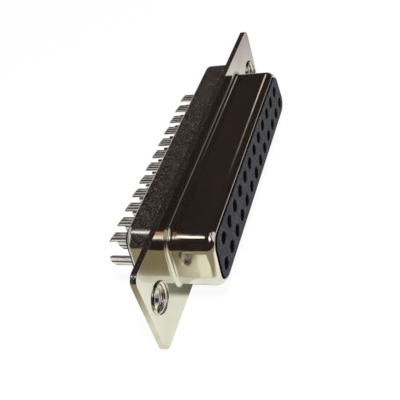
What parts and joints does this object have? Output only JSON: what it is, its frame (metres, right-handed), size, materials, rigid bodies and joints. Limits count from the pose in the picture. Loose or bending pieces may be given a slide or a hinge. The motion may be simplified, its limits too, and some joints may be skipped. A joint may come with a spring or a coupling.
{
  "type": "d-sub connector",
  "caption": "D-shaped panel socket connector with a plated steel shell, flange with mounting holes, black insulator and rows of solder cups.",
  "frame": {"origin": "middle of the mounting flange's front face, half way between the two mounting holes", "axes": "+X along the flange's length, -Y out of the mating face, +Z towards the narrow row of contacts"},
  "size_m": [0.053, 0.0154, 0.0126],
  "materials": {
    "front_shell_plate": "drawn sheet steel, bright nickel or tin plate, mirror-like",
    "rear_shell_plate": "drawn sheet steel, bright plate with a fine grain",
    "front_insulator_plastic": "black glass-filled polyester, satin",
    "rear_insulator_plastic": "black glass-filled polyester, satin",
    "eyelet_plate": "nickel-plated brass, bright",
    "contact_plate": "turned brass, tin plated, satin"
  },
  "bodies": {
    "root": {"front_shell": "front_shell_plate", "rear_shell": "rear_shell_plate", "front_insulator": "front_insulator_plastic", "rear_insulator": "rear_insulator_plastic", "eyelet_left": "eyelet_plate", "eyelet_right": "eyelet_plate", "contact_01": "contact_plate", "contact_02": "contact_plate", "contact_03": "contact_plate", "contact_04": "contact_plate", "contact_05": "contact_plate", "contact_06": "contact_plate", "contact_07": "contact_plate", "contact_08": "contact_plate", "contact_09": "contact_plate", "contact_10": "contact_plate", "contact_11": "contact_plate", "contact_12": "contact_plate", "contact_13": "contact_plate", "contact_14": "contact_plate", "contact_15": "contact_plate", "contact_16": "contact_plate", "contact_17": "contact_plate", "contact_18": "contact_plate", "contact_19": "contact_plate", "contact_20": "contact_plate", "contact_21": "contact_plate", "contact_22": "contact_plate", "contact_23": "contact_plate", "contact_24": "contact_plate", "contact_25": "contact_plate"}
  },
  "joints": []
}
